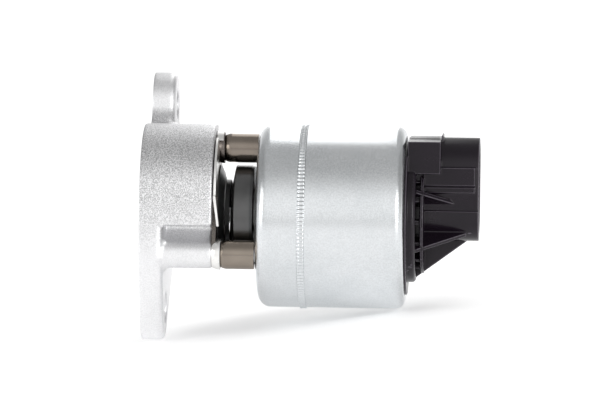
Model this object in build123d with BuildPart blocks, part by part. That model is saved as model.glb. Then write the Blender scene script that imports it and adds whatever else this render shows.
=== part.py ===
"""Linear solenoid EGR valve: gas housing with two ports, pintle, solenoid canister and sensor cap.

X runs along the valve axis, from the mounting face at X = 0 to the connector mouth.
Z is up with the valve lying on its side, and the origin is the inlet port's centre on the mounting face.
"""
import os
from math import cos, dist, pi, radians, sin
from build123d import *

# ---- gas housing (a casting) ----
flange_thickness = 7.8
housing_length = 23.8
barrel_radius = 24.0  # rounded near corner of the housing's upper half
barrel_top = 30.0
barrel_underside = -1.5  # the upper half overhangs the screw boss from this height
ear_radius = 10.5
bolt_hole_radius = 5.25
near_bolt_y, near_bolt_z = -6.0, -30.5
far_bolt_y, far_bolt_z = 38.0, 34.0
port_radius = 10.0
outlet_y, outlet_z = 33.0, 4.0
duct_wall = 4.8  # casting wall round the outlet port
outlet_roof = 5.0  # casting left above the outlet duct
passage_radius = 4.0  # cross passage from the valve chamber to the outlet
chamber_radius = 12.0
chamber_wall = 4.3
root_fillet = 2.6  # where the screw bosses rise from the flange
web_fillet = 1.0  # inside corners beside the near screw boss
ear_fillet = 2.0  # rounded outer edge of the flange's back
far_shoulder_y, far_shoulder_radius = 27.0, 13.0
far_shoulder_drop = 15.0  # the shoulder's centre below the barrel's top
outline_fillet = 7.0  # inside corners of the flange outline

# ---- pillars that carry the solenoid, and their screws ----
pillar_count = 3
first_pillar_angle = 90.0  # straight up
pillar_circle_radius = 22.3  # radius of the pillars' circle
pillar_radius = 4.8
pillar_nose_length = 3.2  # rounded end that stands in the shield plate's cup
pillar_nose_tip = 3.2  # radius of the flat at the nose's tip
boss_wall = 2.2  # casting round each screw
boss_margin = 0.8  # flange left outside the near boss
screw_radius = 2.5
screw_head_radius = 4.2
screw_head_height = 2.6
screw_reach = 12.0  # length of screw in the housing
screw_hole_run_out = 1.0  # tapped hole left beyond the screw's end
screw_socket_radius = 1.6

# ---- valve seat, pintle and its bush ----
seat_start = 6.5
seat_height = 3.5
seat_bore = 6.4
seat_lip = 1.5  # width and depth of the seat's cone
pintle_nose = 5.5  # radius of the pintle's flat end
pintle_rim = 8.3
pintle_rim_height = 0.7
pintle_neck = 1.6  # axial length of the cone behind the rim
stem_radius = 2.5
bush_length = 5.8
valve_lift = 4.5

# ---- shield plate and spring stack between the housing and the solenoid ----
plate_thickness = 1.2
plate_lobe = 4.3
cup_radius = 5.1  # rim of the cup that holds each pillar's end
cup_height = 2.8
cup_floor_thickness = 1.8
cup_wall = 0.7
plate_hole = 8.5
bead_radius = 12.6
bead_height = 0.8
cone_outer, cone_inner = 16.6, 12.3
cone_height = 2.0
cone_thickness = 0.8
washer_bore = 4.0
seal_spring_radius = 10.6
seal_spring_wire = 0.8
seal_spring_turns = 1.4

# ---- lower pole: the drum seen under the canister ----
seal_spring_length = 2.18  # room for the seal spring, from the dished washer to the drum
drum_length = 7.4
drum_radius = 16.6
drum_face_fall = 1.2  # how far the drum's lower face falls back towards its rim
drum_round = 0.5
pole_neck_radius = 10.5  # neck that passes through the canister's floor
neck_length = 0.8  # neck left showing between the drum and the canister
pole_flange_radius = 17.0
pole_flange_thickness = 2.6
pole_flange_gap = 0.3  # from the canister's floor at the flange's rim

# ---- canister ----
can_radius = 30.0
can_wall = 1.2
can_length = 49.1  # from the floor's hole to the rolled rim's face
can_dome = 0.7  # how far the floor falls back towards its rim
can_corner = 5.5
pad_rise = 0.3  # from the floor at its hole to the flat seats for the pillars
pad_depth = 2.4  # thickness of those seats, up to the screw heads
lip_round = 2.4
lip_width = 4.5  # how far the rolled rim reaches in
band_place = 14.5  # from the floor's hole to the knurled band
band_width = 2.4
band_height = 0.35
tooth_height = 0.35
tooth_count = 144

# ---- coil, armature and upper pole ----
sleeve_bore = 8.85
sleeve_wall = 0.65
armature_length = 18.0
armature_rest = 2.8  # armature's height above the lower pole with the valve shut
armature_chamfer = 0.6
bobbin_wall = 1.4
bobbin_rest = 0.7  # bobbin's height above the lower pole
bobbin_gap = 3.3  # between the bobbin's flanges and the canister
winding_depth = 1.3  # winding's surface below the flanges' edge
working_gap = 0.5  # left between the armature and the upper pole when the valve is open
spring_pocket_radius = 6.4
armature_pocket_depth = 6.0
pole_pocket_depth = 9.5
return_spring_radius = 5.0
return_spring_wire = 1.2
return_spring_turns = 5.5
washer_thickness = 3.2

# ---- sensor cap (moulded plastic) ----
cap_seat_thickness = 1.8
seal_room = 1.8  # between the cap's seat and the canister
seal_gap = 0.15  # left on each side of the seal ring
lip_gap = 0.1  # between the cap's seat and the rolled rim
disc_height = 0.8  # disc's face above the rolled rim
disc_margin = 4.2  # from the disc's edge to the rim ring
rim_height = 2.8
rim_wall = 3.4
rim_round = 1.2
hub_radius = 12.8
hub_plate_margin = 3.0  # from the rim ring's outside to the hub's plate
hub_plate_thickness = 0.9
hub_height = 5.3
web_count = 14
web_thickness = 1.3
tower_half_width = 10.3
tower_top = 26.9
tower_bottom = -6.7
tower_length = 24.1  # from the rolled rim's face to the mouth
box_half_width = 13.2
box_top = 26.3
box_bottom = 15.7
box_length = 10.7  # from the disc's face
latch_thickness = 0.7  # fin on the box's front that the plug's lock comes up to
latch_half_width = 5.0
latch_top = 27.9
rail_top, rail_bottom = 17.7, 11.8  # guide rails along the shroud's sides
rail_proud = 0.7
rail_chamfer = 1.5
rib_top, rib_bottom = 11.2, 9.4  # thin ribs below the rails
rib_proud = 0.35
lower_wall_top = 3.4  # the shroud's wall is thicker below this height
lower_wall_proud = 0.5
shroud_wall = 1.9
partition = 3.8  # wall between the sensor's chamber and the socket
gusset_thickness = 1.3
gusset_margin = 1.6  # from the rim ring's outside to the gussets' feet
gusset_setback = 4.1  # from the mouth
side_gusset_tip = 9.4  # gussets' radii at the mouth end
bottom_gusset_tip = 7.4
gusset_upper_angle = 32.0
gusset_lower_angle = 29.0

# ---- connector terminals and position sensor ----
terminal_count = 5
terminal_pitch = 4.6
terminal_width = 2.3
terminal_thickness = 0.7
terminal_setback = 1.8  # terminals' tips below the mouth
terminal_root = 3.0
sensor_bore = 6.8
sensor_depth = 13.8
plunger_radius = 1.5
carrier_radius = 4.0
carrier_thickness = 2.2
carrier_rest = 2.0  # carrier's height above the chamber's floor with the valve shut
plunger_spring_radius = 2.9
plunger_spring_wire = 0.5
plunger_spring_turns = 5.0
track_thickness = 0.8
track_width = 6.0
track_length = 11.0
wiper_width = 3.0
wiper_thickness = 0.5

# ---- clearances ----
press_gap = 0.02  # between pieces pressed or wound together
slide_gap = 0.06  # round a sliding stem
free_gap = 0.2  # between pieces laid against each other
plunger_gap = 0.1

os.makedirs("parts", exist_ok=True)

# ---- places along the valve axis, each from the piece before it ----
seat_face = seat_start + seat_height
bush_start = housing_length - bush_length
plate_start = housing_length + press_gap
plate_top = plate_start + plate_thickness
cone_start = plate_top + press_gap
cone_top = cone_start + cone_height
drum_start = cone_top + seal_spring_length
drum_end = drum_start + drum_length
can_floor = drum_end + neck_length
floor_edge = can_floor + can_dome
pad_start = can_floor + pad_rise
pad_end = pad_start + pad_depth
cup_seat = plate_start + cup_floor_thickness
cup_rim = plate_start + cup_height
pole_flange_start = floor_edge + can_wall + pole_flange_gap
pole_end = pole_flange_start + pole_flange_thickness
armature_start = pole_end + armature_rest
armature_end = armature_start + armature_length
stem_end = armature_end - armature_pocket_depth
pole_start = armature_end + valve_lift + working_gap
pole_pocket_end = pole_start + pole_pocket_depth
can_end = can_floor + can_length
band_start = can_floor + band_place
cap_seat_top = can_end - can_wall - lip_gap
cap_start = cap_seat_top - cap_seat_thickness
washer_end = cap_start - free_gap
washer_start = washer_end - washer_thickness
bobbin_start = pole_end + bobbin_rest
bobbin_end = washer_start - free_gap
disc_top = can_end + disc_height
rim_top = disc_top + rim_height
hub_top = disc_top + hub_height
box_end = disc_top + box_length
tower_end = can_end + tower_length
sensor_roof = cap_start + sensor_depth
socket_floor = sensor_roof + partition
carrier_start = cap_start + carrier_rest
carrier_end = carrier_start + carrier_thickness

# ---- places and radii across the valve axis ----
pillar_angles = [radians(first_pillar_angle + 360 * i / pillar_count) for i in range(pillar_count)]
pillar_places = [(pillar_circle_radius * cos(a), pillar_circle_radius * sin(a)) for a in pillar_angles]
near_boss_y, near_boss_z = pillar_places[1]
boss_radius = screw_radius + boss_wall
duct_radius = port_radius + duct_wall
chamber_outside = chamber_radius + chamber_wall
barrel_centre_z = barrel_top - barrel_radius
far_shoulder_z = barrel_top - far_shoulder_drop
can_inside = can_radius - can_wall
lip_radius = can_radius - lip_width
cap_seat_radius = can_inside - seal_room
disc_radius = lip_radius - free_gap
rim_radius = disc_radius - disc_margin
hub_plate_radius = rim_radius - hub_plate_margin
gusset_foot_radius = rim_radius - gusset_margin
bobbin_flange = can_inside - bobbin_gap
winding_radius = bobbin_flange - winding_depth
sleeve_outside = sleeve_bore + sleeve_wall

# ---- base housing: outlines across the valve axis, drawn with Y to the right and Z up ----
with BuildSketch() as main_outline:
    with Locations((0, 0), (0, barrel_centre_z)):
        Circle(barrel_radius)
    with Locations((far_shoulder_y, far_shoulder_z)):
        Circle(far_shoulder_radius)
    with Locations((near_bolt_y, near_bolt_z)):
        Circle(ear_radius)
    with Locations((near_boss_y, near_boss_z)):
        Circle(boss_radius + boss_margin)
    with Locations((outlet_y, outlet_z)):
        Circle(duct_radius)
    make_hull()

with BuildSketch() as far_ear_outline:
    with Locations((far_bolt_y, far_bolt_z), (outlet_y, outlet_z)):
        Circle(ear_radius)
    make_hull()

with BuildSketch() as flange_outline:
    add(main_outline.sketch)
    add(far_ear_outline.sketch)
    ear_corner = flange_outline.vertices().sort_by_distance((far_bolt_y - ear_radius, barrel_top, 0))[0]
    fillet(ear_corner, radius=min(outline_fillet, 1.8 * (far_bolt_z - barrel_top)))

with BuildSketch() as upper_body_outline:
    add(main_outline.sketch)
    with Locations((0, barrel_underside)):
        Rectangle(
            4 * barrel_radius,
            2 * barrel_top,
            align=(Align.CENTER, Align.MIN),
            mode=Mode.INTERSECT,
        )

with BuildSketch() as lower_body_outline:
    Circle(chamber_outside)
    with Locations((outlet_y, outlet_z)):
        Circle(duct_radius)
    make_hull()

with BuildSketch() as boss_web_outline:
    with Locations((near_boss_y, near_boss_z), (0, 0)):
        Circle(boss_radius)
    make_hull()

web_cut = (chamber_outside**2 - boss_radius**2) ** 0.5  # where the web's sides meet the chamber's wall
web_y, web_z = near_boss_y / pillar_circle_radius, near_boss_z / pillar_circle_radius
overhang_corner = (-((chamber_outside**2 - barrel_underside**2) ** 0.5), barrel_underside)
web_upper_corner = (web_y * web_cut + web_z * boss_radius, web_z * web_cut - web_y * boss_radius)
web_lower_corner = (web_y * web_cut - web_z * boss_radius, web_z * web_cut + web_y * boss_radius)
corner_round = min(web_fillet, 0.45 * dist(overhang_corner, web_upper_corner))
with BuildSketch() as body_outline:
    add(upper_body_outline.sketch)
    add(lower_body_outline.sketch)
    add(boss_web_outline.sketch)
    with PolarLocations(pillar_circle_radius, pillar_count, start_angle=first_pillar_angle):
        Circle(boss_radius)
    for corner_place in (overhang_corner, web_upper_corner, web_lower_corner):
        corner = body_outline.vertices().sort_by_distance((*corner_place, 0))[0]
        fillet(corner, radius=corner_round)

outlet_distance = (outlet_y**2 + outlet_z**2) ** 0.5
outlet_depth = housing_length - outlet_roof
passage_x = seat_start + seat_height + passage_radius

# The lower screw bosses flare out over the flat of the flange's back
with BuildPart() as boss_flares:
    for boss_y, boss_z in pillar_places[1:]:
        with BuildSketch(Plane(origin=(0, boss_y, boss_z), x_dir=(1, 0, 0), z_dir=(0, -1, 0))):
            with Locations((flange_thickness, 0)):
                Rectangle(root_fillet, boss_radius + root_fillet, align=(Align.MIN, Align.MIN))
            with Locations((flange_thickness + root_fillet, boss_radius + root_fillet)):
                Circle(root_fillet, mode=Mode.SUBTRACT)
        revolve(axis=Axis((0, boss_y, boss_z), (1, 0, 0)))
    with BuildSketch(Plane.YZ.offset(flange_thickness)):
        add(flange_outline.sketch)
        offset(amount=-ear_fillet, mode=Mode.REPLACE)
    extrude(amount=root_fillet, mode=Mode.INTERSECT)

with BuildPart() as base_housing:
    with BuildSketch(Plane.YZ):
        add(flange_outline.sketch)
    extrude(amount=flange_thickness)
    fillet(base_housing.edges().group_by(Axis.X)[-1], radius=ear_fillet)
    with BuildSketch(Plane.YZ):
        add(body_outline.sketch)
    extrude(amount=housing_length)
    add(boss_flares.part)
    # Inlet port and valve chamber
    with BuildSketch(Plane.YZ):
        Circle(port_radius)
    extrude(amount=housing_length, mode=Mode.SUBTRACT)
    with BuildSketch(Plane.YZ.offset(seat_start)):
        Circle(chamber_radius)
    extrude(amount=housing_length, mode=Mode.SUBTRACT)
    # Outlet port, blind, and the cross passage from the chamber
    with BuildSketch(Plane.YZ):
        with Locations((outlet_y, outlet_z)):
            Circle(port_radius)
    extrude(amount=outlet_depth, mode=Mode.SUBTRACT)
    with BuildSketch(Plane(origin=(passage_x, 0, 0), x_dir=(1, 0, 0), z_dir=(0, outlet_y, outlet_z))):
        Circle(passage_radius)
    extrude(amount=outlet_distance, mode=Mode.SUBTRACT)
    # Mounting bolt holes
    with BuildSketch(Plane.YZ):
        with Locations((near_bolt_y, near_bolt_z), (far_bolt_y, far_bolt_z)):
            Circle(bolt_hole_radius)
    extrude(amount=flange_thickness, mode=Mode.SUBTRACT)
    # Tapped holes for the screws that pass through the pillars
    with BuildSketch(Plane.YZ.offset(housing_length)):
        with PolarLocations(pillar_circle_radius, pillar_count, start_angle=first_pillar_angle):
            Circle(screw_radius + press_gap)
    extrude(amount=-(screw_reach + screw_hole_run_out), mode=Mode.SUBTRACT)

base_housing.part.label = "base_housing"
export_step(base_housing.part, "parts/base_housing.step")

# ---- valve seat ring, pressed into the chamber ----
with BuildPart() as valve_seat:
    with BuildSketch(Plane.XZ):
        with BuildLine():
            Polyline(
                (seat_start, seat_bore),
                (seat_start, chamber_radius - press_gap),
                (seat_face, chamber_radius - press_gap),
                (seat_face, seat_bore + seat_lip),
                (seat_face - seat_lip, seat_bore),
                close=True,
            )
        make_face()
    revolve(axis=Axis.X)

valve_seat.part.label = "valve_seat"
export_step(valve_seat.part, "parts/valve_seat.step")

# ---- pintle: a cone that closes on the seat, and a stem up into the armature ----
# Where the closed pintle's cone would reach the axis
seat_cone_x = seat_face - seat_lip - seat_bore + slide_gap * 2**0.5
pintle_rim_x = seat_cone_x + pintle_rim
pintle_neck_x = pintle_rim_x + pintle_rim_height + pintle_neck
with BuildPart() as pintle:
    with BuildSketch(Plane.XZ):
        with BuildLine():
            Polyline(
                (seat_cone_x + pintle_nose, 0),
                (seat_cone_x + pintle_nose, pintle_nose),
                (pintle_rim_x, pintle_rim),
                (pintle_rim_x + pintle_rim_height, pintle_rim),
                (pintle_neck_x, stem_radius),
                (stem_end, stem_radius),
                (stem_end, 0),
                close=True,
            )
        make_face()
    revolve(axis=Axis.X)

pintle.part.label = "pintle"
export_step(pintle.part, "parts/pintle.step")

# ---- stem bush, pressed into the top of the chamber ----
with BuildPart() as stem_bush:
    with BuildSketch(Plane.YZ.offset(bush_start)):
        Circle(chamber_radius - press_gap)
        Circle(stem_radius + slide_gap, mode=Mode.SUBTRACT)
    extrude(amount=bush_length)

stem_bush.part.label = "stem_bush"
export_step(stem_bush.part, "parts/stem_bush.step")

# ---- shield plate: three lobes that end in cups, with an embossed bead round the valve ----
with BuildPart() as shield_plate:
    with BuildSketch(Plane.YZ.offset(plate_start)):
        with PolarLocations(pillar_circle_radius, pillar_count, start_angle=first_pillar_angle):
            Circle(plate_lobe)
        make_hull()
        Circle(plate_hole, mode=Mode.SUBTRACT)
        with PolarLocations(pillar_circle_radius, pillar_count, start_angle=first_pillar_angle):
            Circle(screw_radius + free_gap, mode=Mode.SUBTRACT)
    extrude(amount=plate_thickness)
    with BuildSketch(Plane.XZ):
        with Locations((plate_top, bead_radius)):
            Circle(bead_height)
    revolve(axis=Axis.X)
    for pillar_y, pillar_z in pillar_places:
        with BuildSketch(Plane(origin=(0, pillar_y, pillar_z), x_dir=(1, 0, 0), z_dir=(0, -1, 0))):
            with BuildLine():
                TangentArc(
                    (cup_rim, cup_radius),
                    (plate_start, plate_lobe),
                    tangent=(-1, 0),
                )
                Polyline(
                    (plate_start, plate_lobe),
                    (plate_start, screw_radius + free_gap),
                    (cup_seat, screw_radius + free_gap),
                    (cup_seat, plate_lobe - cup_wall),
                    (cup_rim, cup_radius - cup_wall),
                    (cup_rim, cup_radius),
                )
            make_face()
        revolve(axis=Axis((0, pillar_y, pillar_z), (1, 0, 0)))

shield_plate.part.label = "shield_plate"
export_step(shield_plate.part, "parts/shield_plate.step")

# ---- dished washer and seal spring between the plate and the lower pole ----
with BuildPart() as dished_washer:
    with BuildSketch(Plane.XZ):
        with BuildLine():
            Polyline(
                (cone_start, cone_outer),
                (cone_start + cone_thickness / 2, cone_outer),
                (cone_top, cone_inner),
                (cone_top, washer_bore),
                (cone_top - cone_thickness, washer_bore),
                (cone_top - cone_thickness, cone_inner - cone_thickness / 2),
                close=True,
            )
        make_face()
    revolve(axis=Axis.X)

dished_washer.part.label = "dished_washer"
export_step(dished_washer.part, "parts/dished_washer.step")

seal_spring_start = cone_top + seal_spring_wire / 2 + press_gap
seal_spring_travel = drum_start - cone_top - seal_spring_wire - 2 * press_gap
with BuildPart() as seal_spring:
    with BuildLine() as seal_spring_path:
        Helix(
            pitch=seal_spring_travel / seal_spring_turns,
            height=seal_spring_travel,
            radius=seal_spring_radius,
            center=(seal_spring_start, 0, 0),
            direction=(1, 0, 0),
        )
    with BuildSketch(seal_spring_path.line ^ 0):
        Circle(seal_spring_wire / 2)
    sweep(is_frenet=True)

seal_spring.part.label = "seal_spring"
export_step(seal_spring.part, "parts/seal_spring.step")

# ---- lower pole: drum outside, neck through the floor and flange inside the canister ----
with BuildPart() as lower_pole:
    with BuildSketch(Plane.XZ):
        with BuildLine():
            Polyline(
                (drum_start, stem_radius + free_gap),
                (drum_start, seal_spring_radius),
                (drum_start + drum_face_fall, drum_radius),
                (drum_end, drum_radius),
                (drum_end, pole_neck_radius),
                (pole_flange_start, pole_neck_radius),
                (pole_flange_start, pole_flange_radius),
                (pole_end, pole_flange_radius),
                (pole_end, stem_radius + free_gap),
                close=True,
            )
        drum_corners = make_face().vertices()
        for corner_x in (drum_start + drum_face_fall, drum_end):
            fillet(drum_corners.sort_by_distance((corner_x, drum_radius, 0))[0], radius=drum_round)
    revolve(axis=Axis.X)

lower_pole.part.label = "lower_pole"
export_step(lower_pole.part, "parts/lower_pole.step")

# ---- pillars: three tubes with rounded ends, from the shield plate's cups to the canister ----
pillar_start = cup_seat + press_gap
pillar_end = pad_start - press_gap
pillar_bore = screw_radius + free_gap
with BuildPart() as pillars:
    for pillar_y, pillar_z in pillar_places:
        with BuildSketch(Plane(origin=(0, pillar_y, pillar_z), x_dir=(1, 0, 0), z_dir=(0, -1, 0))):
            with BuildLine():
                TangentArc(
                    (pillar_start + pillar_nose_length, pillar_radius),
                    (pillar_start, pillar_nose_tip),
                    tangent=(-1, 0),
                )
                Polyline(
                    (pillar_start, pillar_nose_tip),
                    (pillar_start, pillar_bore),
                    (pillar_end, pillar_bore),
                    (pillar_end, pillar_radius),
                    (pillar_start + pillar_nose_length, pillar_radius),
                )
            make_face()
        revolve(axis=Axis((0, pillar_y, pillar_z), (1, 0, 0)))

pillars.part.label = "pillars"
export_step(pillars.part, "parts/pillars.step")

# ---- screws: heads inside the canister, shanks down the pillars into the housing ----
screw_start = housing_length - screw_reach
screw_seat = pad_end + press_gap
with BuildPart() as housing_screws:
    with BuildSketch(Plane.YZ.offset(screw_start)):
        with PolarLocations(pillar_circle_radius, pillar_count, start_angle=first_pillar_angle):
            Circle(screw_radius)
    extrude(amount=screw_seat - screw_start)
    with BuildSketch(Plane.YZ.offset(screw_seat)):
        with PolarLocations(pillar_circle_radius, pillar_count, start_angle=first_pillar_angle):
            Circle(screw_head_radius)
    extrude(amount=screw_head_height)
    with BuildSketch(Plane.YZ.offset(screw_seat + screw_head_height)):
        with PolarLocations(pillar_circle_radius, pillar_count, start_angle=first_pillar_angle):
            RegularPolygon(screw_socket_radius, 6)
    extrude(amount=-screw_head_height / 2, mode=Mode.SUBTRACT)

housing_screws.part.label = "housing_screws"
export_step(housing_screws.part, "parts/housing_screws.step")

# ---- canister: drawn cup with a domed floor and a rim rolled over the cap ----
floor_bore = pole_neck_radius + press_gap
with BuildPart() as solenoid_can:
    with BuildSketch(Plane.XZ):
        with BuildLine():
            Polyline(
                (can_floor, floor_bore),
                (floor_edge, can_radius - can_corner),
                (floor_edge, can_radius),
                (can_end, can_radius),
                (can_end, lip_radius),
                (can_end - can_wall, lip_radius),
                (can_end - can_wall, can_inside),
                (floor_edge + can_wall, can_inside),
                (floor_edge + can_wall, can_radius - can_corner),
                (can_floor + can_wall, floor_bore),
                close=True,
            )
        cup = make_face()
        cup_corners = cup.vertices()
        fillet(cup_corners.sort_by_distance((floor_edge, can_radius, 0))[0], radius=can_corner)
        fillet(
            cup_corners.sort_by_distance((floor_edge + can_wall, can_inside, 0))[0],
            radius=can_corner - can_wall,
        )
        fillet(cup_corners.sort_by_distance((can_end, can_radius, 0))[0], radius=lip_round)
        fillet(
            cup_corners.sort_by_distance((can_end - can_wall, can_inside, 0))[0],
            radius=lip_round - can_wall,
        )
    revolve(axis=Axis.X)
    with BuildSketch(Plane.YZ.offset(pad_start)):
        with PolarLocations(pillar_circle_radius, pillar_count, start_angle=first_pillar_angle):
            Circle(pillar_radius)
    extrude(amount=pad_end - pad_start)
    with BuildSketch(Plane.YZ.offset(can_floor)):
        with PolarLocations(pillar_circle_radius, pillar_count, start_angle=first_pillar_angle):
            Circle(screw_radius + free_gap)
    extrude(amount=can_corner, mode=Mode.SUBTRACT)

solenoid_can.part.label = "solenoid_can"
export_step(solenoid_can.part, "parts/solenoid_can.step")

# ---- knurled band round the canister ----
tooth_root = can_radius + band_height
tooth_points = [
    (
        (tooth_root + tooth_height * (i % 2)) * cos(pi * i / tooth_count),
        (tooth_root + tooth_height * (i % 2)) * sin(pi * i / tooth_count),
    )
    for i in range(2 * tooth_count)
]
with BuildPart() as knurled_band:
    with BuildSketch(Plane.YZ.offset(band_start)):
        with BuildLine():
            Polyline(*tooth_points, close=True)
        make_face()
        Circle(can_radius + press_gap, mode=Mode.SUBTRACT)
    extrude(amount=band_width)

knurled_band.part.label = "knurled_band"
export_step(knurled_band.part, "parts/knurled_band.step")

# ---- coil: bobbin and winding ----
bobbin_inside = sleeve_outside + press_gap
bobbin_outside = bobbin_inside + bobbin_wall
with BuildPart() as coil_bobbin:
    with BuildSketch(Plane.XZ):
        with BuildLine():
            Polyline(
                (bobbin_start, bobbin_inside),
                (bobbin_start, bobbin_flange),
                (bobbin_start + bobbin_wall, bobbin_flange),
                (bobbin_start + bobbin_wall, bobbin_outside),
                (bobbin_end - bobbin_wall, bobbin_outside),
                (bobbin_end - bobbin_wall, bobbin_flange),
                (bobbin_end, bobbin_flange),
                (bobbin_end, bobbin_inside),
                close=True,
            )
        make_face()
    revolve(axis=Axis.X)

coil_bobbin.part.label = "coil_bobbin"
export_step(coil_bobbin.part, "parts/coil_bobbin.step")

winding_start = bobbin_start + bobbin_wall + press_gap
winding_length = bobbin_end - bobbin_start - 2 * (bobbin_wall + press_gap)
with BuildPart() as coil_winding:
    with BuildSketch(Plane.YZ.offset(winding_start)):
        Circle(winding_radius)
        Circle(bobbin_outside + press_gap, mode=Mode.SUBTRACT)
    extrude(amount=winding_length)

coil_winding.part.label = "coil_winding"
export_step(coil_winding.part, "parts/coil_winding.step")

# ---- armature sleeve, armature and upper pole ----
sleeve_start = pole_end + press_gap
with BuildPart() as armature_sleeve:
    with BuildSketch(Plane.YZ.offset(sleeve_start)):
        Circle(sleeve_outside)
        Circle(sleeve_bore, mode=Mode.SUBTRACT)
    extrude(amount=washer_start - press_gap - sleeve_start)

armature_sleeve.part.label = "armature_sleeve"
export_step(armature_sleeve.part, "parts/armature_sleeve.step")

armature_radius = sleeve_bore - slide_gap
with BuildPart() as armature:
    with BuildSketch(Plane.XZ):
        with BuildLine():
            Polyline(
                (armature_start, stem_radius + press_gap),
                (armature_start, armature_radius - armature_chamfer),
                (armature_start + armature_chamfer, armature_radius),
                (armature_end - armature_chamfer, armature_radius),
                (armature_end, armature_radius - armature_chamfer),
                (armature_end, spring_pocket_radius),
                (stem_end, spring_pocket_radius),
                (stem_end, stem_radius + press_gap),
                close=True,
            )
        make_face()
    revolve(axis=Axis.X)

armature.part.label = "armature"
export_step(armature.part, "parts/armature.step")

pole_radius = sleeve_bore - press_gap
with BuildPart() as pole_core:
    with BuildSketch(Plane.XZ):
        with BuildLine():
            Polyline(
                (pole_start, spring_pocket_radius),
                (pole_start, pole_radius),
                (washer_end, pole_radius),
                (washer_end, plunger_radius + plunger_gap),
                (pole_pocket_end, plunger_radius + plunger_gap),
                (pole_pocket_end, spring_pocket_radius),
                close=True,
            )
        make_face()
    revolve(axis=Axis.X)

pole_core.part.label = "pole_core"
export_step(pole_core.part, "parts/pole_core.step")

# ---- return spring between the armature and the upper pole ----
return_spring_start = stem_end + return_spring_wire / 2 + press_gap
return_spring_travel = pole_pocket_end - stem_end - return_spring_wire - 2 * press_gap
with BuildPart() as return_spring:
    with BuildLine() as return_spring_path:
        Helix(
            pitch=return_spring_travel / return_spring_turns,
            height=return_spring_travel,
            radius=return_spring_radius,
            center=(return_spring_start, 0, 0),
            direction=(1, 0, 0),
        )
    with BuildSketch(return_spring_path.line ^ 0):
        Circle(return_spring_wire / 2)
    sweep(is_frenet=True)

return_spring.part.label = "return_spring"
export_step(return_spring.part, "parts/return_spring.step")

# ---- flux washer that closes the top of the coil ----
with BuildPart() as flux_washer:
    with BuildSketch(Plane.YZ.offset(washer_start)):
        Circle(can_inside - free_gap)
        Circle(sleeve_bore, mode=Mode.SUBTRACT)
    extrude(amount=washer_thickness)

flux_washer.part.label = "flux_washer"
export_step(flux_washer.part, "parts/flux_washer.step")

# ---- sensor cap: seat under the rolled rim, disc, ribbed hub and connector shroud in one moulding ----
tower_centre_low = tower_bottom + tower_half_width
tower_centre_high = tower_top - tower_half_width
tower_middle = (tower_top + tower_bottom) / 2
web_reach = hub_plate_radius - web_thickness
terminal_span = terminal_pitch * (terminal_count - 1)

with BuildSketch() as tower_outline:
    with Locations((0, tower_centre_low), (0, tower_centre_high)):
        Circle(tower_half_width)
    make_hull()

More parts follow.
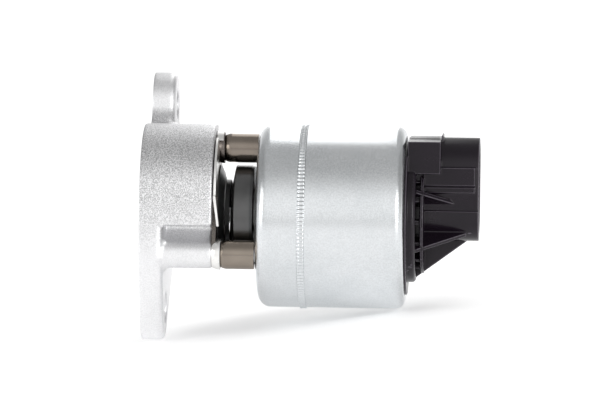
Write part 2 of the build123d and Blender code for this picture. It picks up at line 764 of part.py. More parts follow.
with BuildPart() as sensor_cap:
    with BuildSketch(Plane.YZ.offset(cap_start)):
        Circle(cap_seat_radius)
    extrude(amount=cap_seat_thickness)
    with BuildSketch(Plane.YZ.offset(cap_seat_top)):
        Circle(disc_radius)
    extrude(amount=disc_top - cap_seat_top)
    with BuildSketch(Plane.YZ.offset(disc_top)):
        Circle(rim_radius)
        Circle(rim_radius - rim_wall, mode=Mode.SUBTRACT)
    extrude(amount=rim_height)
    fillet(sensor_cap.edges().group_by(Axis.X)[-1], radius=rim_round)
    with BuildSketch(Plane.YZ.offset(disc_top)):
        Circle(hub_radius)
    extrude(amount=hub_top - disc_top)
    with BuildSketch(Plane.YZ.offset(hub_top)):
        Circle(hub_plate_radius)
    extrude(amount=-hub_plate_thickness)
    with BuildSketch(Plane.YZ.offset(disc_top)):
        with PolarLocations(web_reach / 2, web_count):
            Rectangle(web_reach, web_thickness)
    extrude(amount=hub_top - disc_top - hub_plate_thickness / 2)
    # Connector shroud
    with BuildSketch(Plane.YZ.offset(disc_top)):
        add(tower_outline.sketch)
    extrude(amount=tower_end - disc_top)
    # Block behind the shroud's upper part, with a latch fin on its front
    with BuildSketch(Plane.YZ.offset(disc_top)):
        with Locations((0, (box_top + box_bottom) / 2)):
            Rectangle(2 * box_half_width, box_top - box_bottom)
    extrude(amount=box_end - disc_top)
    with BuildSketch(Plane.YZ.offset(box_end)):
        with Locations((0, (latch_top + box_bottom) / 2)):
            Rectangle(2 * latch_half_width, latch_top - box_bottom)
    extrude(amount=latch_thickness)
    # Thicker wall round the lower part of the shroud
    with BuildSketch(Plane.YZ.offset(hub_top)):
        offset(tower_outline.sketch, amount=lower_wall_proud)
        with Locations((0, lower_wall_top)):
            Rectangle(
                4 * tower_half_width,
                4 * tower_half_width,
                align=(Align.CENTER, Align.MAX),
                mode=Mode.INTERSECT,
            )
    extrude(amount=tower_end - hub_top)
    # Guide rails and thin ribs along both sides, bevelled at the mouth
    for bar_top, bar_bottom, proud in ((rail_top, rail_bottom, rail_proud), (rib_top, rib_bottom, rib_proud)):
        with BuildSketch(Plane.XY.offset(bar_bottom)):
            with BuildLine():
                Polyline(
                    (hub_top, tower_half_width + proud),
                    (tower_end - rail_chamfer, tower_half_width + proud),
                    (tower_end, tower_half_width - rail_chamfer / 2),
                    (tower_end, rail_chamfer / 2 - tower_half_width),
                    (tower_end - rail_chamfer, -tower_half_width - proud),
                    (hub_top, -tower_half_width - proud),
                    close=True,
                )
            make_face()
        extrude(amount=bar_top - bar_bottom)
    # Gussets from the rim up to the shroud, on both sides and underneath
    for gusset_angle, gusset_tip in (
        (gusset_upper_angle, side_gusset_tip),
        (180 - gusset_upper_angle, side_gusset_tip),
        (-gusset_lower_angle, side_gusset_tip),
        (180 + gusset_lower_angle, side_gusset_tip),
        (-90, bottom_gusset_tip),
    ):
        gusset_y = cos(radians(gusset_angle))
        gusset_z = sin(radians(gusset_angle))
        with BuildSketch(Plane(origin=(0, 0, 0), x_dir=(1, 0, 0), z_dir=(0, -gusset_z, gusset_y))):
            with BuildLine():
                Polyline(
                    (disc_top, 0),
                    (disc_top, gusset_foot_radius),
                    (rim_top, gusset_foot_radius),
                    (tower_end - gusset_setback, gusset_tip),
                    (tower_end - gusset_setback, 0),
                    close=True,
                )
            make_face()
        extrude(amount=gusset_thickness / 2, both=True)
    # Socket for the plug
    with BuildSketch(Plane.YZ.offset(tower_end)):
        offset(tower_outline.sketch, amount=-shroud_wall)
    extrude(amount=socket_floor - tower_end, mode=Mode.SUBTRACT)
    # Slots that hold the terminals
    with BuildSketch(Plane.YZ.offset(socket_floor)):
        with Locations((0, tower_middle)):
            with GridLocations(terminal_pitch, terminal_pitch, 1, terminal_count):
                Rectangle(terminal_thickness + 2 * press_gap, terminal_width + 2 * press_gap)
    extrude(amount=-(terminal_root + press_gap), mode=Mode.SUBTRACT)
    # Chamber for the position sensor
    with BuildSketch(Plane.YZ.offset(cap_start)):
        Circle(sensor_bore)
    extrude(amount=sensor_roof - cap_start, mode=Mode.SUBTRACT)

sensor_cap.part.label = "sensor_cap"
export_step(sensor_cap.part, "parts/sensor_cap.step")

# ---- seal ring between the cap and the canister ----
with BuildPart() as cap_seal:
    with BuildSketch(Plane.XZ):
        with Locations((cap_start + cap_seat_thickness / 2, (cap_seat_radius + can_inside) / 2)):
            Circle(seal_room / 2 - seal_gap)
    revolve(axis=Axis.X)

cap_seal.part.label = "cap_seal"
export_step(cap_seal.part, "parts/cap_seal.step")

# ---- connector terminals ----
with BuildPart() as connector_terminals:
    with BuildSketch(Plane.YZ.offset(socket_floor - terminal_root)):
        with Locations((0, tower_middle)):
            with GridLocations(terminal_pitch, terminal_pitch, 1, terminal_count):
                Rectangle(terminal_thickness, terminal_width)
    extrude(amount=terminal_root + tower_end - terminal_setback - socket_floor)

connector_terminals.part.label = "connector_terminals"
export_step(connector_terminals.part, "parts/connector_terminals.step")

# ---- position sensor: track on the chamber wall, plunger, wiper and plunger spring ----
track_back = (sensor_bore**2 - track_width**2 / 4) ** 0.5 - press_gap
track_start = sensor_roof - free_gap - track_length
with BuildPart() as sensor_track:
    with Locations((track_start, track_back, 0)):
        Box(track_length, track_thickness, track_width, align=(Align.MIN, Align.MAX, Align.CENTER))

sensor_track.part.label = "sensor_track"
export_step(sensor_track.part, "parts/sensor_track.step")

plunger_start = stem_end + plunger_gap
with BuildPart() as sensor_plunger:
    with BuildSketch(Plane.YZ.offset(plunger_start)):
        Circle(plunger_radius)
    extrude(amount=carrier_end - plunger_start)
    with BuildSketch(Plane.YZ.offset(carrier_start)):
        Circle(carrier_radius)
    extrude(amount=carrier_thickness)

sensor_plunger.part.label = "sensor_plunger"
export_step(sensor_plunger.part, "parts/sensor_plunger.step")

wiper_reach = track_back - track_thickness - plunger_gap - carrier_radius
with BuildPart() as sensor_wiper:
    with Locations((carrier_start + carrier_thickness / 2, carrier_radius + press_gap, 0)):
        Box(wiper_thickness, wiper_reach, wiper_width, align=(Align.CENTER, Align.MIN, Align.CENTER))

sensor_wiper.part.label = "sensor_wiper"
export_step(sensor_wiper.part, "parts/sensor_wiper.step")

plunger_spring_start = carrier_end + plunger_spring_wire / 2 + press_gap
plunger_spring_travel = sensor_roof - carrier_end - plunger_spring_wire - 2 * press_gap
with BuildPart() as plunger_spring:
    with BuildLine() as plunger_spring_path:
        Helix(
            pitch=plunger_spring_travel / plunger_spring_turns,
            height=plunger_spring_travel,
            radius=plunger_spring_radius,
            center=(plunger_spring_start, 0, 0),
            direction=(1, 0, 0),
        )
    with BuildSketch(plunger_spring_path.line ^ 0):
        Circle(plunger_spring_wire / 2)
    sweep(is_frenet=True)

plunger_spring.part.label = "plunger_spring"
export_step(plunger_spring.part, "parts/plunger_spring.step")
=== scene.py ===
"""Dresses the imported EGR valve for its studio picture."""
import math

import bmesh
import bpy
from mathutils import Matrix, Vector


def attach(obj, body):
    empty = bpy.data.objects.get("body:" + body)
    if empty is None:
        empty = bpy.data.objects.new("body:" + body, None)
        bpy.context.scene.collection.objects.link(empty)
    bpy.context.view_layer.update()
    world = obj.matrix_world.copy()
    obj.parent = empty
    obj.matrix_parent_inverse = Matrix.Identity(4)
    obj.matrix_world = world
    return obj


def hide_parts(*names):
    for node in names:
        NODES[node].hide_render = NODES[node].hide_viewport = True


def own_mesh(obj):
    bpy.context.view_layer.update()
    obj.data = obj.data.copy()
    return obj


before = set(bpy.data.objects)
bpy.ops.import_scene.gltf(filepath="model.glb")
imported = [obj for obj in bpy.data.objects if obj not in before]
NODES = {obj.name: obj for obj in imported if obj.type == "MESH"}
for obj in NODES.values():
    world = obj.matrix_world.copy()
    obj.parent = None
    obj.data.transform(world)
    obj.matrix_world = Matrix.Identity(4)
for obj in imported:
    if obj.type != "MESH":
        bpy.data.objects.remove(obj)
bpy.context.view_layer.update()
MM = 0.001
scene = bpy.context.scene


# ---------------------------------------------------------------- mesh helpers
def shade(obj, smooth_angle=32.0):
    """Smooth faces, with sharp edges where they meet at more than the angle."""
    for face in obj.data.polygons:
        face.use_smooth = True
    obj.data.set_sharp_from_angle(angle=math.radians(smooth_angle))


def new_object(name, bm, smooth_angle=32.0):
    mesh = bpy.data.meshes.new(name)
    bmesh.ops.recalc_face_normals(bm, faces=bm.faces[:])
    bm.to_mesh(mesh)
    bm.free()
    obj = bpy.data.objects.new(name, mesh)
    scene.collection.objects.link(obj)
    shade(obj, smooth_angle)
    return obj


def turned(bm, x, r, angle):
    """A vertex at x along the valve's axis and r from it, both in mm."""
    return bm.verts.new((x * MM, r * math.cos(angle) * MM, r * math.sin(angle) * MM))


def join_rings(bm, here, there):
    """Closes the strip of faces between two rings of as many vertices."""
    count = len(here)
    for i in range(count):
        j = (i + 1) % count
        bm.faces.new((here[i], here[j], there[j], there[i]))


def lathe(name, profile, segments=192):
    """Turns a closed profile of (x, r) points in mm about the X axis."""
    bm = bmesh.new()
    rings = []
    for k in range(segments):
        angle = 2 * math.pi * k / segments
        rings.append([turned(bm, x, r, angle) for x, r in profile])
    for k, here in enumerate(rings):
        join_rings(bm, here, rings[(k + 1) % segments])
    bmesh.ops.remove_doubles(bm, verts=bm.verts[:], dist=1e-7)
    return new_object(name, bm)


def rounded(points, radii, steps=8):
    """The closed outline with each corner rounded to its radius, as far as its sides allow."""
    side_share = 0.8  # of each side that one corner may take
    out = []
    count = len(points)
    for i, (corner, radius) in enumerate(zip(points, radii)):
        corner = Vector(corner)
        before, after = Vector(points[i - 1]), Vector(points[(i + 1) % count])
        u, v = (before - corner).normalized(), (after - corner).normalized()
        half = u.angle(v) / 2
        reach = min(
            radius / math.tan(half), side_share * (before - corner).length, side_share * (after - corner).length
        )
        radius = reach * math.tan(half)
        centre = corner + (u + v).normalized() * (radius / math.sin(half))
        first = math.atan2(*(corner + u * reach - centre).yx)
        last = math.atan2(*(corner + v * reach - centre).yx)
        turn = (last - first + math.pi) % (2 * math.pi) - math.pi
        for k in range(steps + 1):
            angle = first + turn * k / steps
            out.append((centre.x + radius * math.cos(angle), centre.y + radius * math.sin(angle)))
    return out


def prism(name, near, far):
    """A solid of sheet between two outlines of as many (x, y, z) points in mm, its edges broken."""
    bm = bmesh.new()
    near, far = ([bm.verts.new([c * MM for c in point]) for point in points] for points in (near, far))
    bm.faces.new(near[::-1])
    bm.faces.new(far)
    join_rings(bm, near, far)
    obj = new_object(name, bm, 30.0)
    soft = obj.modifiers.new("soft", "BEVEL")
    soft.width = 0.12 * MM
    soft.segments = 3
    soft.limit_method = "ANGLE"
    return obj


def slab(name, outline, x0, x1):
    """A prism along X from one outline of (y, z) points in mm."""
    return prism(name, [(x0, *p) for p in outline], [(x1, *p) for p in outline])


def coil(name, x0, x1, radius, wire, turns, dead=0.75):
    """A compression spring along X, its dead end coils closed and ground flat."""
    steps_per_turn, sides = 72, 14
    half = wire / 2
    bm = bmesh.new()
    rings = []
    for k in range(int(turns * steps_per_turn) + 1):
        turn = k / steps_per_turn
        live_share = min(max((turn - dead) / (turns - 2 * dead), 0.0), 1.0)
        closed = half * (min(turn, dead) + max(turn - turns + dead, 0)) / dead
        x = x0 + half + (x1 - x0 - 2 * wire) * live_share + closed
        ring = []
        for j in range(sides):
            around = 2 * math.pi * j / sides
            ground = min(max(x + half * math.sin(around), x0), x1)
            ring.append(turned(bm, ground, radius + half * math.cos(around), 2 * math.pi * turn))
        rings.append(ring)
    for here, there in zip(rings, rings[1:]):
        join_rings(bm, here, there)
    bm.faces.new(rings[0])
    bm.faces.new(rings[-1][::-1])
    return new_object(name, bm, 50.0)


def softened(name, source, voxel_mm, fillet_mm=0.0):
    """A copy of a CAD node with its edges worn round, as casting and moulding leave them.

    With a fillet, the surface is swelled and shrunk again, which fills the inside corners.
    """
    obj = bpy.data.objects.new(name, source.data.copy())
    scene.collection.objects.link(obj)
    weld = obj.modifiers.new("weld", "WELD")
    weld.merge_threshold = 1e-6

    def remesh():
        step = obj.modifiers.new("remesh", "REMESH")
        step.mode = "VOXEL"
        step.voxel_size = voxel_mm * MM
        step.adaptivity = 0.0

    remesh()
    if fillet_mm:
        for distance in (fillet_mm, -fillet_mm):
            swell = obj.modifiers.new("swell", "DISPLACE")
            swell.strength = distance * MM
            swell.mid_level = 0.0
            remesh()
    smooth = obj.modifiers.new("smooth", "SMOOTH")
    smooth.factor = 0.5
    smooth.iterations = 2
    bpy.context.view_layer.update()
    evaluated = obj.evaluated_get(bpy.context.evaluated_depsgraph_get())
    mesh = bpy.data.meshes.new_from_object(evaluated)
    obj.modifiers.clear()
    obj.data = mesh
    shade(obj, 40.0)
    return obj


# ---------------------------------------------------------------- shader helpers
def material(name):
    mat = bpy.data.materials.new(name)
    mat.use_nodes = True
    return mat, mat.node_tree.nodes, mat.node_tree.links, mat.node_tree.nodes["Principled BSDF"]


def noise(nodes, links, scale, detail, rough):
    coords = nodes.new("ShaderNodeTexCoord")
    texture = nodes.new("ShaderNodeTexNoise")
    texture.inputs["Scale"].default_value = scale
    texture.inputs["Detail"].default_value = detail
    texture.inputs["Roughness"].default_value = rough
    links.new(coords.outputs["Object"], texture.inputs["Vector"])
    return texture.outputs["Fac"]


def ramp(nodes, links, source, stops):
    """Colours by the source's value; a stop is (value, colour) or (value, grey)."""
    node = nodes.new("ShaderNodeValToRGB")
    elements = node.color_ramp.elements
    while len(elements) < len(stops):
        elements.new(0.5)
    for element, (value, colour) in zip(elements, stops):
        element.position = value
        element.color = (*colour, 1.0) if isinstance(colour, tuple) else (colour, colour, colour, 1.0)
    links.new(source, node.inputs["Fac"])
    return node.outputs["Color"]


def colour_mix(nodes, mode):
    """The factor, both inputs and the output of a Mix node for colours, at full strength."""
    node = nodes.new("ShaderNodeMix")
    node.data_type = "RGBA"
    node.blend_type = mode
    node.inputs[0].default_value = 1.0
    return node.inputs[0], node.inputs[6], node.inputs[7], node.outputs[2]


def map_range(nodes, links, source, start, end=(0.0, 1.0)):
    """The source's value carried from one range to another."""
    node = nodes.new("ShaderNodeMapRange")
    for side, (low, high) in (("From", start), ("To", end)):
        node.inputs[f"{side} Min"].default_value = low
        node.inputs[f"{side} Max"].default_value = high
    links.new(source, node.inputs["Value"])
    return node.outputs["Result"]


def calculated(nodes, links, operation, source, second=None):
    """A Math node's result; the second input is another source or a number."""
    node = nodes.new("ShaderNodeMath")
    node.operation = operation
    links.new(source, node.inputs[0])
    if isinstance(second, float):
        node.inputs[1].default_value = second
    elif second is not None:
        links.new(second, node.inputs[1])
    return node.outputs["Value"]


def coordinates(nodes, links, kind):
    """A texture coordinate, whole and split into X, Y and Z."""
    point = nodes.new("ShaderNodeTexCoord").outputs[kind]
    split = nodes.new("ShaderNodeSeparateXYZ")
    links.new(point, split.inputs["Vector"])
    return point, split.outputs


def bump(nodes, links, shader, height, strength, distance_mm):
    node = nodes.new("ShaderNodeBump")
    node.inputs["Strength"].default_value = strength
    node.inputs["Distance"].default_value = distance_mm * MM
    links.new(height, node.inputs["Height"])
    links.new(node.outputs["Normal"], shader.inputs["Normal"])


# ---------------------------------------------------------------- materials
def metal(name, dark, light, rough, grain_scale, grain_bump, spread=0.08, metallic=1.0, speckle=0.0, fade=None):
    """A metal whose colour and roughness drift a little, with a fine grain in its surface.

    The speckle can fade: weak below the first of the four heights in fade and above the last.
    """
    mat, nodes, links, shader = material(name)
    shader.inputs["Metallic"].default_value = metallic
    drift = noise(nodes, links, 60.0, 3.0, 0.6)
    colour = ramp(nodes, links, drift, [(0.35, dark), (0.65, light)])
    fine = noise(nodes, links, grain_scale, 5.0, 0.65)
    if speckle:
        factor, first, second, speckled = colour_mix(nodes, "MULTIPLY")
        if fade:
            bottom, top = fade[0], fade[-1]
            _, axes = coordinates(nodes, links, "Object")
            height = map_range(nodes, links, axes["Z"], (bottom, top))
            stops = [((z - bottom) / (top - bottom), share) for z, share in zip(fade, (0.2, 1.0, 1.0, 0.3))]
            links.new(ramp(nodes, links, height, stops), factor)
        links.new(colour, first)
        links.new(ramp(nodes, links, fine, [(0.43, 1 - speckle), (0.57, 1.0)]), second)
        colour = speckled
    links.new(colour, shader.inputs["Base Color"])
    roughness = map_range(nodes, links, fine, (0.0, 1.0), (rough - spread, rough + spread))
    links.new(roughness, shader.inputs["Roughness"])
    bump(nodes, links, shader, fine, grain_bump, 0.08)
    return mat


def plastic(name, dark, light, rough, grain_scale=900.0, grain_bump=0.1, edge_highlight=None, specular=0.5):
    """A moulded plastic; with an edge highlight colour, its edges are lighter: a painted highlight."""
    mat, nodes, links, shader = material(name)
    drift = noise(nodes, links, 90.0, 3.0, 0.6)
    colour = ramp(nodes, links, drift, [(0.3, dark), (0.7, light)])
    if edge_highlight:
        factor, first, second, edge_highlighted = colour_mix(nodes, "MIX")
        geometry = nodes.new("ShaderNodeNewGeometry")
        # Painted highlight: the colour turns lighter where the surface is pointy, along the edges
        painted_edge_highlight = ramp(nodes, links, geometry.outputs["Pointiness"], [(0.508, 0.0), (0.545, 1.0)])
        links.new(painted_edge_highlight, factor)
        links.new(colour, first)
        second.default_value = (*edge_highlight, 1.0)
        colour = edge_highlighted
    links.new(colour, shader.inputs["Base Color"])
    shader.inputs["Roughness"].default_value = rough
    shader.inputs["Specular IOR Level"].default_value = specular
    fine = noise(nodes, links, grain_scale, 4.0, 0.6)
    bump(nodes, links, shader, fine, grain_bump, 0.06)
    return mat


MAT = {
    "cast": metal(
        "cast_housing", (0.86, 0.86, 0.87), (0.92, 0.92, 0.93), 0.41, 2700.0, 1.0,
        spread=0.10, speckle=0.50, fade=(-0.010, 0.006, 0.028, 0.034),
    ),
    "seat": metal("seat_steel", (0.55, 0.56, 0.57), (0.62, 0.63, 0.64), 0.30, 1500.0, 0.10),
    "bush": metal("bush_bronze", (0.45, 0.30, 0.15), (0.55, 0.38, 0.2), 0.40, 1200.0, 0.15),
    "plate": metal("plated_steel", (0.86, 0.85, 0.83), (0.94, 0.93, 0.91), 0.30, 700.0, 0.12),
    # scale: painted shade, a dark copy of the plated steel for the shield plate
    "scale": metal("plate_steel_painted_shade", (0.16, 0.14, 0.13), (0.24, 0.22, 0.20), 0.28, 700.0, 0.12),
    "black": metal(
        "black_steel", (0.012, 0.012, 0.013), (0.03, 0.03, 0.03), 0.30, 900.0, 0.12, spread=0.05, metallic=0.4
    ),
    "dark": metal("dark_steel", (0.10, 0.10, 0.10), (0.14, 0.14, 0.14), 0.30, 900.0, 0.08, spread=0.05),
    "bronze": metal("bronze_tube", (0.24, 0.205, 0.175), (0.30, 0.26, 0.22), 0.22, 900.0, 0.06, spread=0.05),
    "zinc": metal(
        "zinc_can", (0.72, 0.745, 0.76), (0.78, 0.80, 0.815), 0.25, 2200.0, 0.2, spread=0.05, speckle=0.10
    ),
    "copper": metal("copper", (0.5, 0.2, 0.08), (0.6, 0.27, 0.12), 0.35, 900.0, 0.1),
    "tin": metal("terminal_metal", (0.6, 0.55, 0.42), (0.7, 0.64, 0.5), 0.28, 900.0, 0.08),
    "rubber": plastic("seal_rubber", (0.012, 0.012, 0.012), (0.02, 0.02, 0.02), 0.7),
    "plastic": plastic(
        "cap_plastic", (0.006, 0.0035, 0.007), (0.010, 0.006, 0.011), 0.25, 1100.0, 0.2,
        edge_highlight=(0.085, 0.075, 0.09), specular=0.30,
    ),
    "board": plastic("track_board", (0.02, 0.10, 0.03), (0.03, 0.13, 0.05), 0.5),
    "white": plastic("white_plastic", (0.6, 0.6, 0.56), (0.68, 0.68, 0.63), 0.4),
}
FINISH = {
    "base_housing": "cast", "valve_seat": "seat", "stem_bush": "bush", "pintle": "seat",
    "shield_plate": "plate", "dished_washer": "black", "seal_spring": "black", "lower_pole": "dark",
    "pillars": "bronze", "housing_screws": "seat", "solenoid_can": "zinc", "knurled_band": "zinc",
    "coil_bobbin": "plastic", "coil_winding": "copper", "armature_sleeve": "seat", "armature": "dark",
    "pole_core": "dark", "return_spring": "seat", "flux_washer": "dark", "cap_seal": "rubber",
    "sensor_cap": "plastic", "connector_terminals": "tin", "sensor_track": "board",
    "sensor_plunger": "white", "sensor_wiper": "copper", "plunger_spring": "seat",
}
for node_name, node in NODES.items():
    node.data.materials.clear()
    node.data.materials.append(MAT[FINISH[node_name]])
    shade(node)

# Painted shade: the shield plate takes a dark copy of its plated steel, except around its two lower cups, which
# stay light
PILLAR_CIRCLE = 22.3
LOWER_PILLARS = [
    (PILLAR_CIRCLE * math.cos(angle), PILLAR_CIRCLE * math.sin(angle))
    for angle in (math.radians(210), math.radians(330))
]
CUP_REACH = 5.2
shield = NODES["shield_plate"].data
shield.materials.append(MAT["scale"])
for face in shield.polygons:
    _, y, z = face.center / MM
    if min(math.dist((y, z), place) for place in LOWER_PILLARS) > CUP_REACH:
        face.material_index = 1


def put(obj, finish, node_names=(), body="valve_body"):
    """Gives a new piece its material and body, and hides the CAD nodes it stands for."""
    obj.data.materials.clear()
    obj.data.materials.append(MAT[finish])
    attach(obj, body)
    if node_names:
        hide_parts(*node_names)


# ---------------------------------------------------------------- housing
casting = softened("housing_casting", NODES["base_housing"], 0.33, fillet_mm=0.8)
corners = NODES["base_housing"].data.vertices
low, high = ([limit(v.co[i] for v in corners) for i in range(3)] for limit in (min, max))
# The back of the casting falls away toward its far shoulder, from these places on
FALL_X, FALL_Y, FALL_Z = 8, 7, 10
FALL_SLOPE, FALL_EASE = 0.075, 6
BACK_HEIGHT = 15.8  # of the casting's back above FALL_X
for vertex in casting.data.vertices:
    # The rounding stays inside the CAD node's box
    vertex.co = [min(max(vertex.co[i], low[i]), high[i]) for i in range(3)]
    x, y, z = vertex.co / MM
    if x > FALL_X and y > FALL_Y and z > FALL_Z:
        fall = FALL_SLOPE * (y - FALL_Y) * min((z - FALL_Z) / FALL_EASE, 1)
        vertex.co.x = (FALL_X + (x - FALL_X) * (1 - fall / BACK_HEIGHT)) * MM
put(casting, "cast", ["base_housing"])

# ---------------------------------------------------------------- shield plate's near edge
# The skirt is an arc about the middle of the casting's barrel, a little inside its side
SKIRT_RADIUS, BARREL_Z = 22.2, 6
skirt = [
    (-SKIRT_RADIUS * math.cos(angle), BARREL_Z + SKIRT_RADIUS * math.sin(angle))
    for angle in (math.radians(degrees) for degrees in range(6, 67, 4))
]
put(slab("shield_skirt", skirt + [(-3.2, 24.0), (-12.8, 7.4)], 24.2, 24.98), "plate")

# The tab slants toward the canister
tab = [(-22.2, 8.2), (-21.2, -1.9), (-18.2, -1.9), (-18.2, 8.2)]
tab_back, tab_front = (24.0, 25.3, 25.3, 24.0), (24.9, 26.1, 26.1, 24.9)
put(prism("shield_tab", *([(x, *p) for x, p in zip(side, tab)] for side in (tab_back, tab_front))), "plate")

# A curl of the sheet over the upper pillar's cup
curl_turn = [math.radians(degrees) for degrees in range(70, 151, 8)]
curl = [
    (r * math.cos(angle), PILLAR_CIRCLE + r * math.sin(angle))
    for r, arc in ((5.7, curl_turn), (5.15, curl_turn[::-1]))
    for angle in arc
]
put(slab("shield_curl", curl, 24.1, 26.3), "plate")

# ---------------------------------------------------------------- canister, its profile and sizes in mm
X_FLOOR, X_LIP, R_CAN, WALL = 37.42, 86.52, 30.0, 1.2
X_EDGE = X_FLOOR + 0.85  # the domed floor's outer edge
R_NECK, R_LIP = 10.55, 25.5  # the floor's hole and the rolled rim's inside
can_profile = rounded(
    [
        (X_FLOOR, R_NECK), (X_EDGE, R_CAN), (X_LIP, R_CAN), (X_LIP, R_LIP),
        (X_LIP - WALL, R_LIP), (X_LIP - WALL, R_CAN - WALL),
        (X_EDGE + WALL, R_CAN - WALL), (X_FLOOR + WALL, R_NECK),
    ],
    [0.2, 4.3, 3.0, 0.3, 0.3, 1.8, 3.1, 0.2],
    steps=14,
)
put(lathe("can_shell", can_profile, 256), "zinc", ["solenoid_can"])

TEETH, STEPS_PER_TOOTH = 144, 8
X_BAND, BAND_WIDTH = 51.92, 2.4
RIB_HEIGHT = 0.28
# Across the band: place, height over the canister, and share of the ribs' height
BAND_PROFILE = [
    (-0.05, 0.02, 0.0), (0.08, 0.16, 0.3), (0.28, 0.24, 0.8), (0.48, 0.20, 1.0), (0.75, 0.08, 1.0),
    (0.95, 0.04, 1.0), (1.45, 0.04, 1.0), (1.65, 0.08, 1.0), (1.92, 0.20, 1.0), (2.12, 0.24, 0.8),
    (2.32, 0.16, 0.3), (2.45, 0.02, 0.0),
]


def knurl(name):
    """The rolled band: a shallow channel between two low edges, crossed by ribs."""
    r_top, r_root = R_CAN + 0.01, R_CAN - 0.3
    bm = bmesh.new()
    rings = []
    for k in range(TEETH * STEPS_PER_TOOTH):
        angle = 2 * math.pi * k / (TEETH * STEPS_PER_TOOTH)
        rib = RIB_HEIGHT * (0.5 - 0.5 * math.cos(2 * math.pi * (k % STEPS_PER_TOOTH) / STEPS_PER_TOOTH))
        section = [(x, r_top + height + rib * ribbed) for x, height, ribbed in BAND_PROFILE]
        section += [(BAND_WIDTH, r_root), (0.0, r_root)]
        rings.append([turned(bm, X_BAND + x, r, angle) for x, r in section])
    for k, here in enumerate(rings):
        join_rings(bm, here, rings[(k + 1) % len(rings)])
    return new_object(name, bm, 60.0)


put(knurl("knurl_roll"), "zinc", ["knurled_band"])

# ---------------------------------------------------------------- drum and washer under the canister
# Each profile's (x, r) corners, then the radius of each corner
drum_profile = rounded(
    [
        (29.22, 2.7), (29.22, 10.6), (30.42, 16.6), (35.6, 16.6), (36.62, 16.25),
        (36.62, 10.5), (39.6, 10.5), (39.6, 17.0), (42.2, 17.0), (42.2, 2.7),
    ],
    [0.2, 0.4, 0.5, 0.15, 0.3, 0.1, 0.1, 0.2, 0.3, 0.2],
)
put(lathe("pole_drum", drum_profile), "dark", ["lower_pole"])
washer_profile = rounded(
    [(25.06, 16.6), (25.4, 16.6), (27.04, 12.3), (27.04, 4.0), (26.24, 4.0), (26.24, 11.9)],
    [0.1, 0.15, 0.4, 0.1, 0.1, 0.3],
)
put(lathe("seal_washer", washer_profile, 160), "black", ["dished_washer"])

# ---------------------------------------------------------------- springs
put(coil("seal_coil", 27.06, 29.2, 11.6, 0.5, 4.0, dead=0.2), "black", ["seal_spring"])
put(coil("main_coil", 57.02, 77.5, 5.0, 1.2, 6.5), "seat", ["return_spring"])
put(coil("sensor_coil", 87.64, 97.2, 2.9, 0.5, 6.5), "seat", ["plunger_spring"])
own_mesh(bpy.data.objects["main_coil"])
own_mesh(bpy.data.objects["sensor_coil"])

# ---------------------------------------------------------------- cap
put(softened("cap_moulding", NODES["sensor_cap"], 0.22), "plastic", ["sensor_cap"])

# ---------------------------------------------------------------- floor
FLOOR_LEFT = (0.004, -0.0418)  # under the near ear
FLOOR_RIGHT = (0.086, -0.0304)  # under the canister's rim
FLOOR_HALF = 20.0
SLOPE = (FLOOR_RIGHT[1] - FLOOR_LEFT[1]) / (FLOOR_RIGHT[0] - FLOOR_LEFT[0])
RISE_START, RISE_END, RISE_EASE = -0.06, 0.088, 0.03


def sheet_height(x):
    """The valve rests on a gentle rise of the sheet, which is level on either side of it."""
    steps = 40
    total = 0.0
    for k in range(steps):
        at = FLOOR_LEFT[0] + (x - FLOOR_LEFT[0]) * (k + 0.5) / steps
        started = min(max((at - RISE_START) / RISE_EASE + 1, 0), 1)
        total += SLOPE * started * min(max((RISE_END - at) / RISE_EASE + 1, 0), 1)
    return FLOOR_LEFT[1] + total / steps * (x - FLOOR_LEFT[0])


bm = bmesh.new()
ridge = [-0.13 + 0.01 * i for i in range(35)]
lines = []
for x in [-FLOOR_HALF, *ridge, FLOOR_HALF]:
    height = sheet_height(min(max(x, ridge[0]), ridge[-1]))
    lines.append([bm.verts.new((x, y, height)) for y in (-FLOOR_HALF, FLOOR_HALF)])
for here, there in zip(lines, lines[1:]):
    bm.faces.new((here[0], there[0], there[1], here[1]))
floor = new_object("floor", bm, 60.0)
floor_mat, nodes, links, shader = material("floor")
shader.inputs["Base Color"].default_value = (0.9, 0.9, 0.9, 1)
shader.inputs["Roughness"].default_value = 0.6
shader.inputs["Specular IOR Level"].default_value = 0.1
shader.inputs["Emission Color"].default_value = (1, 1, 1, 1)
point, axes = coordinates(nodes, links, "Object")
# Painted light: how much the sheet glows, though it is no lamp, by depth: dim far in front, bright behind
GLOW_REACH = 0.6  # depths in front and behind, where the ramp starts and ends
GLOW = [(0.0, 0.06), (0.24, 0.44), (0.43, 0.49), (0.75, 0.58), (0.95, 0.62)]
depth = map_range(nodes, links, axes["Y"], (-GLOW_REACH, GLOW_REACH))
glow = ramp(nodes, links, depth, GLOW)
# A painted shadow: a soft pool under the valve, where the sheet glows less
painted_shadow_spot = nodes.new("ShaderNodeMapping")
painted_shadow_spot.vector_type = "TEXTURE"
painted_shadow_spot.inputs["Location"].default_value = (0.046, 0.012, -0.038)
painted_shadow_spot.inputs["Scale"].default_value = (0.098, 0.080, 0.2)
links.new(point, painted_shadow_spot.inputs["Vector"])
painted_shadow_pool = nodes.new("ShaderNodeTexGradient")
painted_shadow_pool.gradient_type = "QUADRATIC_SPHERE"
links.new(painted_shadow_spot.outputs["Vector"], painted_shadow_pool.inputs["Vector"])
painted_shadow_ramp = ramp(nodes, links, painted_shadow_pool.outputs["Fac"], [(0.0, 1.0), (0.5, 0.46)])
# Painted light and painted shadow: the glow times the shadow pool drives the sheet's emission
_, first, second, painted_glow = colour_mix(nodes, "MULTIPLY")
links.new(glow, first)
links.new(painted_shadow_ramp, second)
links.new(painted_glow, shader.inputs["Emission Strength"])
floor.data.materials.append(floor_mat)

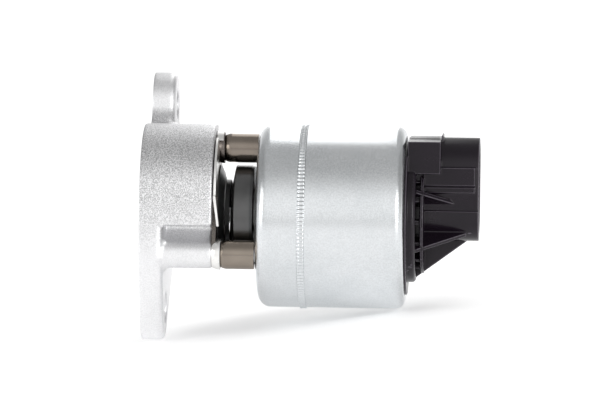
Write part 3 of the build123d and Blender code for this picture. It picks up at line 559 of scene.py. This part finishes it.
# ---------------------------------------------------------------- room and lights
# Radiance of the white room, by angle about the X axis: 0 is the front, 90 overhead, 180 the back.
ROOM = [
    (-180, 1.15), (-165, 1.1), (-120, 0.9), (-90, 0.9), (-30, 0.85), (-17, 0.8), (-9, 0.86),
    (0, 0.98), (13, 1.08), (28, 1.08), (36, 0.95), (44, 0.79), (53, 0.62), (62, 0.52), (75, 0.50),
    (100, 0.50), (125, 0.52), (145, 0.58), (160, 0.85), (170, 1.12), (180, 1.15),
]
ROOM_PEAK = 1.15
# The room is dimmer to either side, which shades the round ends of the canister
SIDES = [(0.45, 1.0), (0.62, 0.7), (0.88, 0.7), (0.97, 1.0)]
world = bpy.data.worlds.new("studio")
scene.world = world
world.use_nodes = True
nodes, links = world.node_tree.nodes, world.node_tree.links
_, axes = coordinates(nodes, links, "Generated")
toward = calculated(nodes, links, "MULTIPLY", axes["Y"], -1.0)
angle = calculated(nodes, links, "ARCTAN2", axes["Z"], toward)
turn_share = map_range(nodes, links, angle, (-math.pi, math.pi))
room = ramp(nodes, links, turn_share, [((degrees + 180) / 360, level / ROOM_PEAK) for degrees, level in ROOM])
dim = ramp(nodes, links, calculated(nodes, links, "ABSOLUTE", axes["X"]), SIDES)
_, first, second, walls = colour_mix(nodes, "MULTIPLY")
links.new(room, first)
links.new(dim, second)
links.new(walls, nodes["Background"].inputs["Color"])
nodes["Background"].inputs["Strength"].default_value = ROOM_PEAK


def area_light(name, location, target, width, height, power):
    data = bpy.data.lights.new(name, "AREA")
    data.shape = "RECTANGLE"
    data.size, data.size_y = width, height
    data.energy = power
    obj = bpy.data.objects.new(name, data)
    obj.location = location
    aim = Vector(target) - Vector(location)
    obj.rotation_euler = aim.to_track_quat("-Z", "Y").to_euler()
    scene.collection.objects.link(obj)


# A narrow strip close behind and above the canister, which draws the white line along its top
area_light("canister_strip", (0.045, 0.19, 0.18), (0.049, 0, 0.02), 0.08, 0.29, power=0.102)
VALVE_MIDDLE = (0.05, 0, 0)
area_light("side_left", (-1.25, -0.75, 0.28), VALVE_MIDDLE, 0.7, 1.0, power=4.0)
area_light("side_right", (1.05, -1.15, 0.28), VALVE_MIDDLE, 0.5, 1.0, power=8.0)

# ---------------------------------------------------------------- camera
FRAME_WIDTH, SENSOR_WIDTH = 600.0, 36.0  # pixels and mm
PIXELS_PER_M = 3030.0
CAMERA_DISTANCE = 1.87
AZIMUTH, ELEVATION, ROLL = math.radians(3.2), math.radians(5.0), math.radians(0.65)
TARGET = Vector((0.0514, 0.0, 0.0054))
camera_data = bpy.data.cameras.new("camera")
camera_data.sensor_width = SENSOR_WIDTH
camera_data.lens = SENSOR_WIDTH * PIXELS_PER_M * CAMERA_DISTANCE / FRAME_WIDTH
camera_data.clip_end = 50.0
camera = bpy.data.objects.new("camera", camera_data)
scene.collection.objects.link(camera)
reach = math.cos(ELEVATION)
back = Vector((math.sin(AZIMUTH) * reach, -math.cos(AZIMUTH) * reach, math.sin(ELEVATION)))
camera.location = TARGET + back * CAMERA_DISTANCE
camera.rotation_mode = "QUATERNION"
look = (-back).to_track_quat("-Z", "Y")
roll = Matrix.Rotation(ROLL, 4, "Z").to_quaternion()
camera.rotation_quaternion = look @ roll
scene.camera = camera
scene.view_settings.view_transform = "Standard"
